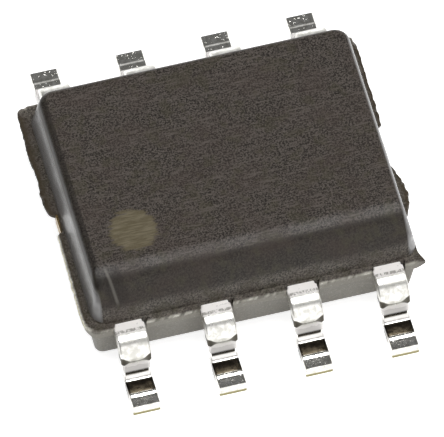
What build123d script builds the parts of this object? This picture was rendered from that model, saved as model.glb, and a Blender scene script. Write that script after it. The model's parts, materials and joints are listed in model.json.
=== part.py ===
from build123d import *
import math
import os

# An eight lead small-outline chip with a heat pad underneath, in millimetres.
# The origin is the centre of the outline on the board. X runs along the row of leads, Y across
# from the bevelled side of leads 1 to 4 to the side of leads 5 to 8, and Z points up off the board.

# Lead frame: the stamped copper sheet that the leads, the pad and its tie bars come from
sheet = 0.20
leads_per_side = 4
pitch = 1.27
tip_span = 6.00
frame_top = 0.82

# One lead, from its finger in the mould to its foot on the board
lead_width = 0.40
collar_ledge = 0.0225
collar_start = 2.10
collar_bottom = 0.47
leg_face_y = 2.47
leg_lean = 4.5
shoulder_inner_radius = 0.15
heel_inner_radius = 0.08
lead_edge_radius = 0.02
finger_reach = 1.42
finger_end_reach = 1.32
finger_pad_width = 0.50
finger_bend_y = 1.74
outer_finger_shift = 0.46
inner_finger_shift = 0.06
lock_hole_radius = 0.07
lock_hole_y = 1.66

# Heat pad, whose underside is bare below the mould, and the tie bars that held it in the frame
pad_length = 2.29
pad_width = 2.29
pad_corner_radius = 0.06
pad_bottom = 0.03
pad_lip = 0.10
pad_lip_height = 0.10
tie_width = 0.32
tie_y = -0.06
left_tie_end = 2.45
right_tie_end = 2.40
tie_root_height = 0.10
tie_rise_start = 0.16
tie_rise_end = 0.62

# Mould: a lower half, set a little to one side, and an upper half stepped in above the parting line
lower_length = 4.84
lower_width = 3.96
lower_shift = -0.045
upper_length = 4.73
upper_width = 3.84
body_bottom = 0.045
upper_height = 0.66
lower_draft = 8.0
upper_draft = 11.5
lower_corner_radius = 0.12
upper_corner_radius = 0.24
bottom_edge_radius = 0.05
top_edge_radius = 0.10
bevel_size = 0.34
dot_x = -1.54
dot_y = -0.885
dot_radius = 0.355
dot_depth = 0.015

# Flash: the strip left between the leads where the dam bars were cut, and thin film at the ends
strip_reach = 0.065
strip_height = 0.13
film = 0.05
film_root = 0.04
horn_reach = 0.08
horn_tip_y = -1.99
horn_length = 0.36
horn_middle_reach = 0.015

# Torn outlines of the film, each point as its place along Y and how far it stands out of the end wall
left_back_film = [(1.88, 0.046), (1.52, 0.088), (1.27, 0.109), (0.76, 0.085), (0.51, 0.106), (0.26, 0.105)]
left_front_film = [(-0.26, 0.022), (-0.90, 0.036), (-1.45, 0.050), (-1.80, 0.054), (-1.90, 0.040)]
right_back_film = [(1.98, 0.085), (1.60, 0.094), (1.20, 0.086), (0.80, 0.092), (0.42, 0.082)]
right_front_film = [(-0.26, 0.004), (-0.44, 0.080), (-0.77, 0.145), (-1.03, 0.109), (-1.20, 0.050)]

# Chip, glue and bonding wires inside the mould
die_length = 1.50
die_width = 1.10
die_height = 0.25
glue_height = 0.025
glue_margin = 0.06
wire_diameter = 0.030
ball_diameter = 0.075
ball_height = 0.02
bond_inset = 0.11
wire_rise = 0.42
wire_peak_rise = 0.44
wire_peak_share = 0.45
wire_radius = 0.06
stitch_inset = 0.10

# Worked out from the sizes above
half_span = tip_span / 2
collar_width = lead_width + 2 * collar_ledge
frame_bottom = frame_top - sheet
body_top = frame_top + upper_height
through = 2 * body_top
left_wall = lower_shift - lower_length / 2
right_wall = lower_shift + lower_length / 2
strip_rim = lower_width / 2 + strip_reach
pad_top = pad_bottom + sheet
glue_top = pad_top + glue_height
die_top = glue_top + die_height


def between(low, high):
    """A box between two opposite corners."""
    size = [b - a for a, b in zip(low, high)]
    middle = [(a + b) / 2 for a, b in zip(low, high)]
    return Pos(*middle) * Box(*size)


def lead_x(number):
    """The place of a lead along X: 1 to 4 run along the bevelled side, 5 to 8 come back behind."""
    place = number - 1 if number <= leads_per_side else 2 * leads_per_side - number
    return (place - (leads_per_side - 1) / 2) * pitch


def finger_shift(number):
    """How far the finger of a lead is bent sideways towards the middle of its row."""
    x = lead_x(number)
    amount = outer_finger_shift if abs(x) > pitch else inner_finger_shift
    return -math.copysign(amount, x)


def lead_profile():
    """The side outline of a lead on the bevelled side, in the YZ plane."""
    lean = math.tan(math.radians(leg_lean))
    bend = math.radians(90 - leg_lean)
    slant = sheet / math.sin(bend)
    shoulder_y = leg_face_y - (frame_top - collar_bottom) * lean
    heel_y = leg_face_y + (collar_bottom - sheet) * lean
    back_shoulder_y = shoulder_y + sheet * lean - slant
    back_heel_y = heel_y + sheet * lean - slant
    outer_bends = [shoulder_inner_radius + sheet, heel_inner_radius]
    inner_bends = [shoulder_inner_radius, heel_inner_radius + sheet]
    over = [
        (-finger_end_reach, frame_top),
        (-shoulder_y, frame_top),
        (-heel_y, sheet),
        (-half_span, sheet),
    ]
    under = [
        (-finger_end_reach, frame_bottom),
        (-back_shoulder_y, frame_bottom),
        (-back_heel_y, 0),
        (-half_span, 0),
    ]
    top = FilletPolyline(*over, radius=outer_bends)
    bottom = FilletPolyline(*under, radius=inner_bends)
    tip = Line(over[-1], under[-1])
    root = Line(over[0], under[0])
    return Plane.YZ * make_face([top, tip, bottom, root])


def finger_plan(shift):
    """The flat outline of a finger inside the mould, bent sideways by a shift towards the chip."""
    half = lead_width / 2
    pad = finger_pad_width / 2
    step = pad - half
    outline = [
        (-half, -half_span),
        (-half, -finger_bend_y),
        (shift - pad, -finger_reach - step),
        (shift - pad, -finger_end_reach),
        (shift + pad, -finger_end_reach),
        (shift + pad, -finger_reach - step),
        (half, -finger_bend_y),
        (half, -half_span),
    ]
    return make_face(Polyline(*outline, close=True))


def rolled_edges(lead):
    """The long edges of a lead's upper face outside the mould, which the stamping leaves round."""
    found = []
    for face in lead.faces():
        normal = face.normal_at(face.center())
        if normal.Z > 0.05 and face.center().Y < -collar_start:
            found += [edge for edge in face.edges() if abs(edge.tangent_at(0.5).X) < 0.5]
    return ShapeList(found)


def make_lead(number):
    """A gull-wing lead with its finger, collar, shoulder, leg and foot."""
    strip = extrude(lead_profile(), amount=2 * pitch, both=True)
    plan = extrude(finger_plan(finger_shift(number)), amount=through)
    collar_end = leg_face_y + sheet
    collar = between(
        (-collar_width / 2, -collar_end, collar_bottom),
        (collar_width / 2, -collar_start, through),
    )
    lead = strip & (plan + collar)
    hole = Pos(0, -lock_hole_y, 0) * Cylinder(lock_hole_radius, through)
    lead = lead - hole
    lead = fillet(rolled_edges(lead), lead_edge_radius)
    if number > leads_per_side:
        lead = mirror(lead, about=Plane.XZ)
    return Pos(lead_x(number), 0, 0) * lead


def make_tie(end):
    """A tie bar on the right, rising from the pad to the parting line and cut off at its end."""
    edge = pad_length / 2 + pad_lip
    root_bottom = pad_top - tie_root_height
    outline = [
        (0, pad_top),
        (edge + tie_rise_start, pad_top),
        (edge + tie_rise_end, frame_top),
        (end, frame_top),
        (end, frame_bottom),
        (edge + tie_rise_end, frame_bottom),
        (edge + tie_rise_start, root_bottom),
        (0, root_bottom),
    ]
    side = Plane.XZ * make_face(Polyline(*outline, close=True))
    return Pos(0, tie_y, 0) * extrude(side, amount=tie_width / 2, both=True)


def make_pad():
    """The heat pad with an undercut lip that keys it into the mould, and its two tie bars."""
    foot = RectangleRounded(pad_length, pad_width, pad_corner_radius)
    wide = RectangleRounded(pad_length + 2 * pad_lip, pad_width + 2 * pad_lip, pad_corner_radius + pad_lip)
    pad = Pos(0, 0, pad_bottom) * extrude(foot, amount=sheet)
    pad += Pos(0, 0, pad_top - pad_lip_height) * extrude(wide, amount=pad_lip_height)
    return pad + make_tie(right_tie_end) + mirror(make_tie(left_tie_end), about=Plane.YZ)


def make_die():
    """The silicon chip."""
    return between((-die_length / 2, -die_width / 2, glue_top), (die_length / 2, die_width / 2, die_top))


def make_glue():
    """The glue under the chip, squeezed out a little all round."""
    spread = RectangleRounded(die_length + 2 * glue_margin, die_width + 2 * glue_margin, 2 * glue_margin)
    return Pos(0, 0, pad_top) * extrude(spread, amount=glue_height)


def bond_points(number):
    """Where the wire of a lead starts on the chip and ends on its finger, in plan."""
    x = lead_x(number)
    side = -1 if number <= leads_per_side else 1
    spread = (die_length / 2 - bond_inset) / lead_x(leads_per_side)
    start = (x * spread, side * (die_width / 2 - bond_inset))
    end = (x + finger_shift(number), side * (finger_end_reach + stitch_inset))
    return start, end


def make_wire(number, lead):
    """A gold wire with its ball on the chip, looped over to a stitch on the finger."""
    (x0, y0), (x1, y1) = bond_points(number)
    reach = math.hypot(x1 - x0, y1 - y0)
    plane = Plane(origin=(x0, y0, die_top), x_dir=(x1 - x0, y1 - y0, 0), z_dir=(y1 - y0, x0 - x1, 0))
    landing = frame_top - die_top
    loop = [
        (0, ball_height / 2),
        (0, wire_rise),
        (wire_peak_share * reach, wire_peak_rise),
        (reach, landing - wire_diameter / 2),
    ]
    path = FilletPolyline(*loop, radius=[wire_radius, 2 * wire_radius])
    path = plane * path
    section = Plane(origin=path @ 0, z_dir=path % 0) * Circle(wire_diameter / 2)
    wire = sweep(section, path=path)
    ball = Pos(x0, y0, die_top + ball_height / 2) * Cylinder(ball_diameter / 2, ball_height)
    return (wire + ball) - lead


def drafted_block(length, width, corner, height, draft):
    """A block with rounded upright corners that narrows with height."""
    return extrude(RectangleRounded(length, width, corner), amount=height, taper=draft)


def make_upper_half():
    """The upper half of the mould, with the long bevel that marks the side of lead 1."""
    block = drafted_block(upper_length, upper_width, upper_corner_radius, upper_height, upper_draft)
    block = Pos(0, 0, frame_top) * block
    wall_y = upper_width / 2 - (upper_height - bevel_size) * math.tan(math.radians(upper_draft))
    cut = [
        (-wall_y - bevel_size, body_top - 2 * bevel_size),
        (-wall_y + 2 * bevel_size, body_top + bevel_size),
        (-wall_y - bevel_size, body_top + bevel_size),
    ]
    wedge = extrude(Plane.YZ * make_face(Polyline(*cut, close=True)), amount=upper_length, both=True)
    block = block - wedge
    top = block.faces().sort_by(Axis.Z)[-1]
    bevel = block.faces().filter_by(lambda face: abs(face.normal_at().Z + face.normal_at().Y) < 0.001)[0]
    soft = ShapeList(top.edges()) + bevel.edges().filter_by(lambda edge: edge.center().Z < body_top - 0.01)
    return fillet(soft, top_edge_radius)


def make_lower_half():
    """The lower half of the mould, widest at the parting line."""
    depth = frame_top - body_bottom
    block = extrude(Rectangle(lower_length, lower_width), amount=depth, taper=lower_draft)
    upright = block.edges().filter_by(lambda edge: abs(edge.tangent_at(0.5).Z) > 0.5)
    block = fillet(upright, lower_corner_radius)
    block = Pos(lower_shift, 0, frame_top) * mirror(block, about=Plane.XY)
    bottom_edges = block.faces().sort_by(Axis.Z)[0].edges()
    return fillet(bottom_edges, bottom_edge_radius)


def make_strips():
    """The cut strips of flash along both rows of leads, which die out round the corners."""
    inner = lower_width / 2 - lower_corner_radius
    section = [
        (-inner, frame_top),
        (-strip_rim, frame_top),
        (-strip_rim, frame_top - strip_height),
        (-inner, frame_bottom),
    ]
    face = Plane.YZ * make_face(Polyline(*section, close=True))
    strip = extrude(face, amount=lower_length / 2, both=True)
    outline = RectangleRounded(lower_length, 2 * strip_rim, lower_corner_radius + strip_reach)
    strips = (strip + mirror(strip, about=Plane.XZ)) & extrude(outline, amount=through)
    return Pos(lower_shift, 0, 0) * strips


def make_horn():
    """The pointed scrap of flash that the cut left standing out at the corner by lead 4."""
    root = right_wall - film_root
    outline = [
        (root, -strip_rim + lower_corner_radius / 2),
        (right_wall + horn_reach, horn_tip_y),
        (right_wall + horn_middle_reach, horn_tip_y + horn_length / 2),
        (root, horn_tip_y + horn_length),
    ]
    face = make_face(Polyline(*outline, close=True))
    return Pos(0, 0, frame_top - 2 * film) * extrude(face, amount=2 * film)


def film_face(points, wall, outward):
    """The flat outline of a film between its torn edge and a line just inside the end wall."""
    torn = [(wall + outward * reach, y) for y, reach in points]
    root = wall - outward * film_root
    ends = Polyline(torn[-1], (root, torn[-1][1]), (root, torn[0][1]), torn[0])
    return make_face([Spline(*torn), ends])


def make_films():
    """The thin torn film at the two ends of the parting line, broken away round the tie bars."""
    faces = [
        film_face(left_back_film, left_wall, -1),
        film_face(left_front_film, left_wall, -1),
        film_face(right_back_film, right_wall, 1),
        film_face(right_front_film, right_wall, 1),
    ]
    return [Pos(0, 0, frame_top - film) * extrude(face, amount=film) for face in faces]


def make_body(held):
    """The moulded body, cast round everything that it holds."""
    body = make_upper_half() + make_lower_half() + make_strips() + make_horn()
    for piece in make_films():
        body = body + piece
    dot = Pos(dot_x, dot_y, body_top) * Cylinder(dot_radius, 2 * dot_depth)
    body = body - dot
    for piece in held:
        body = body - piece
    return body


leads = {number: make_lead(number) for number in range(1, 2 * leads_per_side + 1)}
wires = {number: make_wire(number, leads[number]) for number in leads}
pieces = {
    "die_paddle": make_pad(),
    "die_attach": make_glue(),
    "silicon_die": make_die(),
}
pieces.update({"lead_%d" % number: leads[number] for number in leads})
pieces.update({"bond_wire_%d" % number: wires[number] for number in wires})
pieces["moulded_body"] = make_body(list(pieces.values()))

os.makedirs("parts", exist_ok=True)
for name, piece in pieces.items():
    export_step(piece, "parts/%s.step" % name)
    print(name, len(piece.solids()), round(piece.volume, 4))
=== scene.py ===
import json
import math
from types import SimpleNamespace

import bpy
import numpy as np
from mathutils import Matrix, Vector, noise

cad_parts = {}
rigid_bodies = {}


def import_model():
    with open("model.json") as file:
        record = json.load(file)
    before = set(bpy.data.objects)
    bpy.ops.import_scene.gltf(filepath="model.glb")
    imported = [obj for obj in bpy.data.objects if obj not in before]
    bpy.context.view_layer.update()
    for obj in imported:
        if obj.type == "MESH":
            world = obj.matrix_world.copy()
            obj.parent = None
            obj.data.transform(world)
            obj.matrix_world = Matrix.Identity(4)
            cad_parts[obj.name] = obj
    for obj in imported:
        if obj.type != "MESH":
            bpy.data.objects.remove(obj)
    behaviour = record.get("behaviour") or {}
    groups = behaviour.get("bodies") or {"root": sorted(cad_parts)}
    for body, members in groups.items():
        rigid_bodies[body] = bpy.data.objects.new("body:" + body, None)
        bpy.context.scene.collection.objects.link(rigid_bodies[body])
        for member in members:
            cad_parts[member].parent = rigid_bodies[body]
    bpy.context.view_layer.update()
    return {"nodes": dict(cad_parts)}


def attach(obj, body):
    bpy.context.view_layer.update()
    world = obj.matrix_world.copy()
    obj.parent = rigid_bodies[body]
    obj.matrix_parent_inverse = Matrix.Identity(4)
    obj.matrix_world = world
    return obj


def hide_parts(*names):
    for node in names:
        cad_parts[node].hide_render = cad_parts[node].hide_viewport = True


# A small moulded chip with eight gull-wing leads, seen on a white sheet from above its bevelled side.
# Sizes in the dictionaries are millimetres and degrees. Blender works in metres.
mm = 0.001

for leftover in list(bpy.data.objects):
    bpy.data.objects.remove(leftover)

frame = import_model()
scene = bpy.context.scene
print("frame loaded with", len(frame["nodes"]), "nodes")

# What the body, the leads and their finishes share
chipSpec = {
    "pitch": 1.27,
    "perSide": 4,
    "sheet": 0.20,
    "collarWidth": 0.445,
    "tip": 3.00,
    "parting": 0.82,
    "top": 1.48,
}


# Small helpers for node trees

def addNode(tree, kind, **settings):
    node = tree.nodes.new(kind)
    for key, value in settings.items():
        setattr(node, key, value)
    return node


def feed(tree, socket, value):  # a socket takes a link from another socket, or a plain value
    if isinstance(value, bpy.types.NodeSocket):
        tree.links.new(value, socket)
    else:
        socket.default_value = value


def calc(tree, operation, *values):
    node = addNode(tree, "ShaderNodeMath", operation=operation)
    for socket, value in zip(node.inputs, values):
        feed(tree, socket, value)
    return node.outputs[0]


def plus(tree, first, second):
    return calc(tree, "ADD", first, second)


def minus(tree, first, second):
    return calc(tree, "SUBTRACT", first, second)


def times(tree, first, *others):
    for other in others:
        first = calc(tree, "MULTIPLY", first, other)
    return first


def ramp(tree, value, low, high, start=0.0, end=1.0, kind="SMOOTHSTEP"):  # a step from start to end
    node = addNode(tree, "ShaderNodeMapRange", interpolation_type=kind)
    for socket, given in zip(node.inputs, (value, low, high, start, end)):
        feed(tree, socket, given)
    return node.outputs[0]


def rampAt(tree, value, low, high, start=0.0, end=1.0):  # the same between two places in millimetres
    return ramp(tree, value, low * mm, high * mm, start, end)


def bandMask(tree, value, start, end, soft):  # one between two places in millimetres, with soft sides
    return times(tree, rampAt(tree, value, start - soft, start + soft),
                 rampAt(tree, value, end - soft, end + soft, 1.0, 0.0))


def blendValues(tree, factor, first, second):
    node = addNode(tree, "ShaderNodeMix", data_type="FLOAT")
    for index, value in ((0, factor), (2, first), (3, second)):
        feed(tree, node.inputs[index], value)
    return node.outputs[0]


def blendColours(tree, factor, first, second):
    node = addNode(tree, "ShaderNodeMix", data_type="RGBA")
    feed(tree, node.inputs[0], factor)
    for socket, value in ((node.inputs[6], first), (node.inputs[7], second)):
        feed(tree, socket, value if isinstance(value, bpy.types.NodeSocket) else (*value, 1.0))
    return node.outputs[2]


def paint(tree, under, over, *masks):  # lays one colour over another as far as all the masks let it
    return blendColours(tree, times(tree, *masks), under, over)


def cloud(tree, place, size, detail, roughness, stretch=(1.0, 1.0, 1.0)):  # noise with lumps of a size
    mapping = addNode(tree, "ShaderNodeMapping")
    mapping.inputs["Scale"].default_value = stretch
    tree.links.new(place, mapping.inputs["Vector"])
    node = addNode(tree, "ShaderNodeTexNoise")
    for name, value in (("Scale", 1 / (size * mm)), ("Detail", detail), ("Roughness", roughness)):
        node.inputs[name].default_value = value
    tree.links.new(mapping.outputs[0], node.inputs["Vector"])
    return node.outputs[0]


def splitPlace(tree, place):
    split = addNode(tree, "ShaderNodeSeparateXYZ")
    tree.links.new(place, split.inputs[0])
    return split.outputs


def joinPlace(tree, x=0.0, y=0.0, z=0.0):
    join = addNode(tree, "ShaderNodeCombineXYZ")
    for socket, value in zip(join.inputs, (x, y, z)):
        feed(tree, socket, value)
    return join.outputs[0]


def newMaterial(name):
    material = bpy.data.materials.new(name)
    material.use_nodes = True
    tree = material.node_tree
    shader = tree.nodes["Principled BSDF"]
    place = addNode(tree, "ShaderNodeTexCoord").outputs["Object"]
    return material, tree, shader, place


def addBump(tree, shader, layers):  # each layer is a height and its depth in millimetres
    normal = None
    for height, depth in layers:
        bump = addNode(tree, "ShaderNodeBump")
        bump.inputs["Distance"].default_value = depth * mm
        tree.links.new(height, bump.inputs["Height"])
        if normal is not None:
            tree.links.new(normal, bump.inputs["Normal"])
        normal = bump.outputs[0]
    tree.links.new(normal, shader.inputs["Normal"])


# Camera, at the photograph's place

cameraSpec = {
    "azimuth": -13.48,
    "elevation": 55.41,
    "roll": -1.27,
    "distance": 264.0,
    "pixelsPerMm": 69.698,
    "originPixel": (223.66, 216.38),
    "frameSize": (444, 437),
    "sensor": 36.0,
    "clip": (0.01, 20.0),  # metres
}


def towards(azimuth, elevation):  # a direction from the chip, where azimuth 0 is straight in front of it
    azimuth, elevation = math.radians(azimuth), math.radians(elevation)
    return Vector((
        math.sin(azimuth) * math.cos(elevation),
        -math.cos(azimuth) * math.cos(elevation),
        math.sin(elevation),
    ))


def makeCamera(spec):
    azimuth, roll = math.radians(spec["azimuth"]), math.radians(spec["roll"])
    back = towards(spec["azimuth"], spec["elevation"])
    level = Vector((math.cos(azimuth), math.sin(azimuth), 0))
    above = back.cross(level)
    right = level * math.cos(roll) + above * math.sin(roll)
    up = above * math.cos(roll) - level * math.sin(roll)
    wide, high = spec["frameSize"]
    offRight = (spec["originPixel"][0] - wide / 2) / spec["pixelsPerMm"]
    offDown = (spec["originPixel"][1] - high / 2) / spec["pixelsPerMm"]
    data = bpy.data.cameras.new("camera")
    data.sensor_width = spec["sensor"]
    data.lens = spec["pixelsPerMm"] * spec["distance"] * spec["sensor"] / wide
    data.clip_start, data.clip_end = spec["clip"]
    camera = bpy.data.objects.new("camera", data)
    scene.collection.objects.link(camera)
    place = (back * spec["distance"] - right * offRight + up * offDown) * mm
    camera.matrix_world = Matrix.Translation(place) @ Matrix((right, up, back)).transposed().to_4x4()
    scene.camera = camera


makeCamera(cameraSpec)
print("camera placed")


# Studio: a white sheet on the table, and soft lights round it

studioSpec = {
    "surround": (0.165, 0.165, 0.165),
    "softLights": [  # each fades from its core out to its edge, and the last one is the camera's own shade
        {"azimuth": 68, "elevation": 82, "core": 9, "edge": 12, "level": 9.4},
        {"azimuth": -95, "elevation": 73, "core": 9, "edge": 14, "level": 4.2},
        {"azimuth": 90, "elevation": 57, "core": 9, "edge": 14, "level": 4.2},
        {"azimuth": 5, "elevation": 24, "core": 23, "edge": 29, "level": 1.32},
        {"azimuth": 100, "elevation": 15, "core": 12, "edge": 30, "level": 1.2},
        {"azimuth": 180, "elevation": 12, "core": 12, "edge": 26, "level": 0.5},
        {"azimuth": 10, "elevation": 65, "core": 7, "edge": 12, "level": -0.17},
    ],
    "backdrop": (1.0, 1.0, 1.0),
    "sheetColour": (0.72, 0.72, 0.72),
    "sheetRoughness": 0.9,
    "sheetSheen": 0.1,
    "sheetGlow": 0.78,
    "sheetShine": 0.85,
    "sheetHalf": 1500.0,
}


def makeWorld(spec):
    world = bpy.data.worlds.new("studio")
    scene.world = world
    world.use_nodes = True
    tree = world.node_tree
    direction = addNode(tree, "ShaderNodeTexCoord").outputs["Generated"]
    total = 0.0
    for light in spec["softLights"]:
        facing = addNode(tree, "ShaderNodeVectorMath", operation="DOT_PRODUCT")
        tree.links.new(direction, facing.inputs[0])
        facing.inputs[1].default_value = towards(light["azimuth"], light["elevation"])
        outer, inner = [math.cos(math.radians(light[key])) for key in ("edge", "core")]
        total = plus(tree, ramp(tree, facing.outputs["Value"], outer, inner, 0.0, light["level"]), total)
    lit = addNode(tree, "ShaderNodeVectorMath", operation="ADD")
    tree.links.new(total, lit.inputs[0])
    lit.inputs[1].default_value = spec["surround"]
    path = addNode(tree, "ShaderNodeLightPath")
    seen = blendColours(tree, path.outputs["Is Camera Ray"], lit.outputs[0], spec["backdrop"])
    tree.links.new(seen, tree.nodes["Background"].inputs["Color"])


def makeSheet(spec):
    half = spec["sheetHalf"] * mm
    mesh = bpy.data.meshes.new("sheet")
    corners = [(-half, -half, 0), (half, -half, 0), (half, half, 0), (-half, half, 0)]
    mesh.from_pydata(corners, [], [(0, 1, 2, 3)])
    sheet = bpy.data.objects.new("sheet", mesh)
    scene.collection.objects.link(sheet)
    material, tree, shader = newMaterial("whiteSheet")[:3]
    shader.inputs["Base Color"].default_value = (*spec["sheetColour"], 1.0)
    shader.inputs["Roughness"].default_value = spec["sheetRoughness"]
    shader.inputs["Specular IOR Level"].default_value = spec["sheetSheen"]
    path = addNode(tree, "ShaderNodeLightPath")
    glow = addNode(tree, "ShaderNodeEmission")
    feed(tree, glow.inputs["Strength"], plus(
        tree,
        times(tree, path.outputs["Is Camera Ray"], spec["sheetGlow"]),
        times(tree, path.outputs["Is Glossy Ray"], spec["sheetShine"]),
    ))
    both = addNode(tree, "ShaderNodeAddShader")
    tree.links.new(shader.outputs[0], both.inputs[0])
    tree.links.new(glow.outputs[0], both.inputs[1])
    side = addNode(tree, "ShaderNodeMixShader")  # from below the sheet is clear, so the underside can be seen
    tree.links.new(addNode(tree, "ShaderNodeNewGeometry").outputs["Backfacing"], side.inputs[0])
    tree.links.new(both.outputs[0], side.inputs[1])
    tree.links.new(addNode(tree, "ShaderNodeBsdfTransparent").outputs[0], side.inputs[2])
    tree.links.new(side.outputs[0], tree.nodes["Material Output"].inputs["Surface"])
    mesh.materials.append(material)


makeWorld(studioSpec)
makeSheet(studioSpec)
scene.view_settings.view_transform = "Standard"
print("studio lit")


# Mould compound: dark epoxy with pale filler, and a laser mark beside lead 1

mouldSpec = {
    "dark": (0.010, 0.008, 0.006),
    "light": (0.118, 0.101, 0.088),
    "brown": (0.054, 0.038, 0.031),
    "olive": (0.054, 0.048, 0.028),
    # The walls are painted darker than the top as painted shade, and lighter low down as a painted reflection
    # of the white sheet
    "wall": (0.056, 0.047, 0.038),
    "lowWallPaintedLight": (0.195, 0.174, 0.148),
    # Paler where the flash broke, and partly a painted reflection of the white sheet
    "freshAndLit": (0.420, 0.402, 0.350),
    # A painted highlight on the lit edge of the front-left film
    "litEdge": (0.78, 0.74, 0.58),
    "scorched": (0.050, 0.036, 0.020),
    "speck": (0.66, 0.64, 0.58),
    # Noises: size of the lumps, detail, roughness, and a stretch where they aren't round
    "grain": (0.028, 4.0, 0.8),
    "mottle": (0.45, 2.0, 0.5),
    "tints": (0.20, 2.0, 0.5),
    "streak": (0.03, 2.0, 0.6, (0.12, 1.0, 1.0)),
    "chips": (0.035, 3.0, 0.7),
    "pits": (0.008, 2.0, 0.6),
    # From which value of a noise a colour starts, where it is full, and its least and greatest share
    "brownWhere": (0.35, 0.75, 0.0, 0.45),
    "oliveWhere": (0.50, 0.66, 0.0, 0.40),
    "combedWhere": (0.53, 0.70, 0.0, 0.65),
    "speckleMiddle": 0.51,
    "speckleSpread": (0.16, 0.075),  # on the walls and on the top
    "ridgeSpread": 0.09,
    "topFrom": (1.41, 1.44),
    "lowWallLightEnd": (1.00, 1.14),
    "ridge": (-1.60, -1.40, 0.03),
    "roughness": (0.3, 0.7, 0.36, 0.44),
    "sheen": 0.27,
    "grainDepth": 0.0015,
    "pitDepth": 0.0009,
    "dot": {
        "centre": (-1.54, -0.885),
        "radii": (0.345, 0.36),
        "edge": (0.89, 1.05),
        "raggedness": 0.75,
        "burntWhere": (0.38, 0.66),
        "colours": ((0.118, 0.098, 0.056), (0.180, 0.155, 0.100)),
        "share": 0.85,
    },
    # A painted highlight line and a painted shade patch on the bevel's left end
    "line": {
        "start": (-2.10, -1.41),
        "length": (0.0, 0.43, 0.03),
        "slant": 0.19,
        "above": (0.90, 0.95),
        "width": (-0.020, 0.020, 0.016),
        "colour": (0.17, 0.16, 0.14),
        "share": 0.55,
        "shadeWidth": (-0.12, 0.19, 0.05),
        "shadeShare": 0.45,
    },
    # The side walls' pale colour is a painted reflection of the white sheet, and the rim is painted shade
    "side": {
        "from": (2.24, 2.28),
        "above": (0.83, 0.85),
        "leftTop": (1.22, 1.36),
        "colour": (0.185, 0.180, 0.178),
        "roughness": 0.20,
        "sheen": 1.0,
        "rim": (2.185, 2.300, 0.012),
        "shadedRimAbove": (1.28, 1.36),
        "shadedRimShare": 0.6,
    },
    # The broken flash's colours, partly painted light
    "broken": {
        "chipStart": (1.0, 1.4, 0.60, 0.44),
        "chipSoftness": 0.10,
        "freshAndLitShare": 0.9,
        "litEdgeFrom": (1.45, 2.0),
        "scorchedFrom": (0.0, -1.0),
    },
}


def makeNoises(tree, place, spec, *names):
    return [cloud(tree, place, *spec[name]) for name in names]


def paintDot(tree, skin, x, y, onTop, streak, spec):  # the laser mark, with a ragged edge
    away = [
        calc(tree, "DIVIDE", minus(tree, axis, centre * mm), radius * mm)
        for axis, centre, radius in zip((x, y), spec["centre"], spec["radii"])
    ]
    reach = calc(tree, "SQRT", plus(tree, *[times(tree, part, part) for part in away]))
    ragged = plus(tree, reach, times(tree, minus(tree, streak, 0.5), spec["raggedness"]))
    burnt = blendColours(tree, ramp(tree, streak, *spec["burntWhere"]), *spec["colours"])
    return paint(tree, skin, burnt, ramp(tree, ragged, *spec["edge"], 1.0, 0.0), onTop, spec["share"])


def paintHighlightLine(tree, skin, x, y, z, dark, spec):  # a painted highlight line in a painted shade patch, across the bevel's left end
    startX, startY = spec["start"]
    down = minus(tree, startY * mm, y)
    aside = minus(tree, minus(tree, x, startX * mm), times(tree, down, spec["slant"]))
    onBevel = times(tree, bandMask(tree, down, *spec["length"]), rampAt(tree, z, *spec["above"]))
    skin = paint(tree, skin, dark, bandMask(tree, aside, *spec["shadeWidth"]), onBevel, spec["shadeShare"])
    return paint(tree, skin, spec["colour"], bandMask(tree, aside, *spec["width"]), onBevel, spec["share"])


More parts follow.
